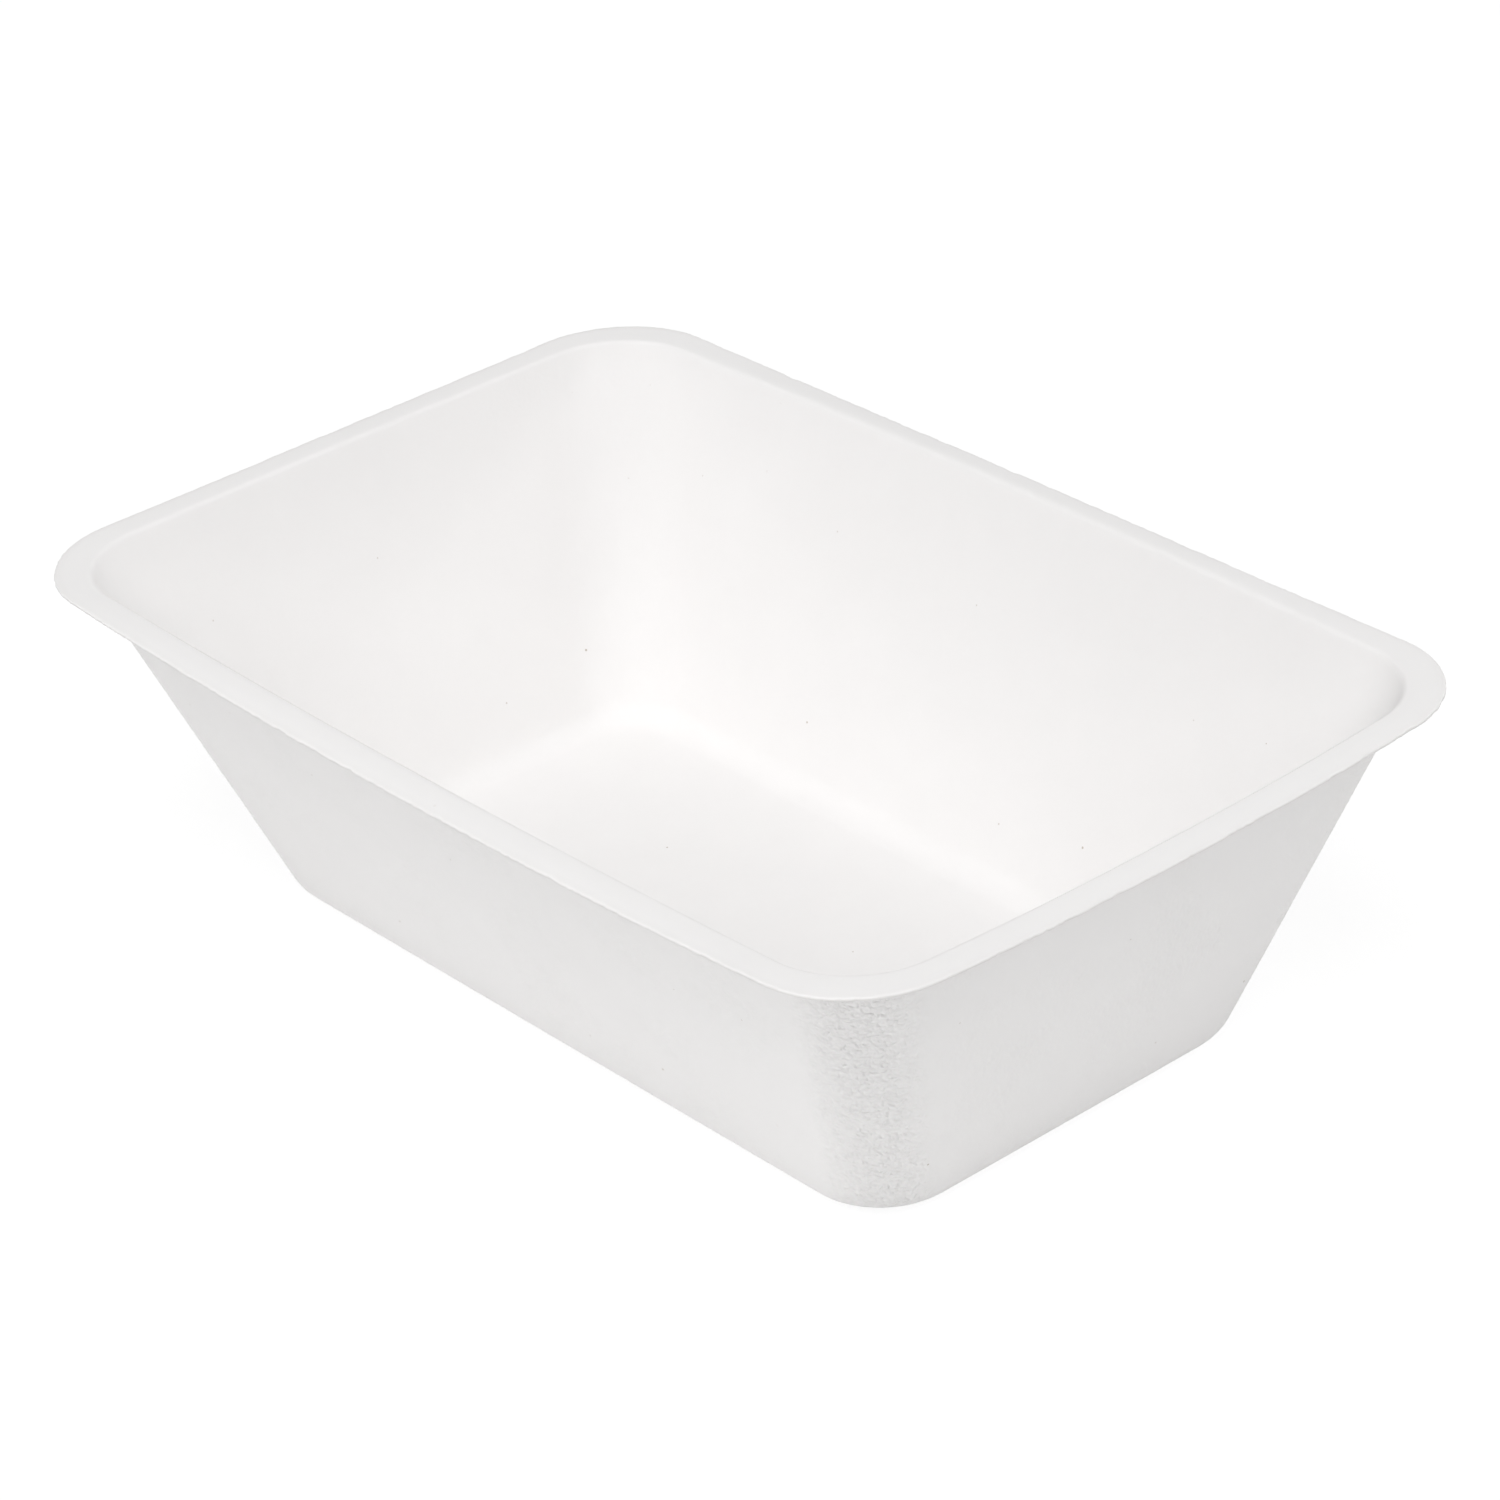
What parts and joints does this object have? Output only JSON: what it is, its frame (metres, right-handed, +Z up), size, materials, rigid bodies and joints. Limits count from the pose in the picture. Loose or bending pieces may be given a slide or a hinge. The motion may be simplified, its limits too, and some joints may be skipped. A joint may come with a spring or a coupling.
{
  "type": "bagasse food tray",
  "caption": "Deep rectangular takeaway tray pressed from sugarcane pulp, with tapered walls, rounded corners, a flat base and a narrow flat flange round the mouth.",
  "frame": {"origin": "middle of the base's underside, on the surface that the tray stands on", "axes": "+Z up, out of the tray's mouth; X along the tray's long sides; Y across them"},
  "size_m": [0.1868, 0.1238, 0.055],
  "materials": {
    "pulp": "matt off-white pressed sugarcane fibre, smooth inside and with a fine mesh texture outside"
  },
  "bodies": {
    "root": {"tray": "pulp"}
  },
  "joints": []
}
